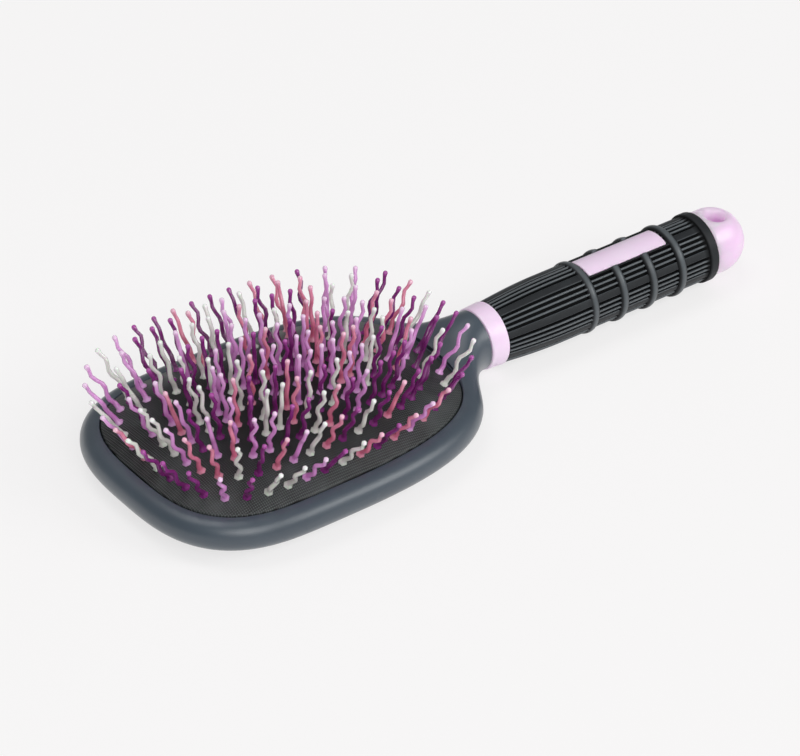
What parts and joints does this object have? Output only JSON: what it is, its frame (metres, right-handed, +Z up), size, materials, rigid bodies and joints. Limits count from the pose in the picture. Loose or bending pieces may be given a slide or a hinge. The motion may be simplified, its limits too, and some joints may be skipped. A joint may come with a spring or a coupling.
{
  "type": "mane brush",
  "caption": "Cushioned paddle brush for manes and tails: oval head with wavy ball-tipped pins on a domed rubber pad, ribbed handle with a bare plate and a domed end with a hanging hole.",
  "frame": {"origin": "centre of the overall box in plan, on the surface that the brush lies on with its pins up", "axes": "+X along the handle from the head to the end cap, +Y across the head, +Z up, the way the pins point"},
  "size_m": [0.2553, 0.0991, 0.0436],
  "materials": {
    "slate_shell": "soft-touch slate grey, satin",
    "black_pad": "matt rubber with a fine woven grain",
    "mixed_pins": "glossy nylon pins mixed at random in plum, orchid, rose pink and pearl",
    "lilac_plastic": "pale lilac pink, smooth satin gloss",
    "black_grip": "satin black rubber with fine lengthwise ribs"
  },
  "bodies": {
    "brush_body": {"head_shell": "slate_shell", "cushion_pad": "black_pad", "collar_ring": "lilac_plastic", "handle_core": "lilac_plastic", "grip_sleeve": "black_grip", "name_plate": "lilac_plastic", "end_cap": "lilac_plastic"},
    "bristle_field": {"bristle_ring_1": "mixed_pins", "bristle_ring_2": "mixed_pins", "bristle_ring_3": "mixed_pins", "bristle_ring_4": "mixed_pins", "bristle_ring_5": "mixed_pins", "bristle_middle_row": "mixed_pins"}
  },
  "joints": [
    {"name": "cushion_press", "type": "slide", "parent": "brush_body", "child": "bristle_field", "axis": [0, 0, -1], "range_m": [0, 0.003], "stiffness_N_per_m": 1500, "deforming": ["cushion_pad"]}
  ]
}
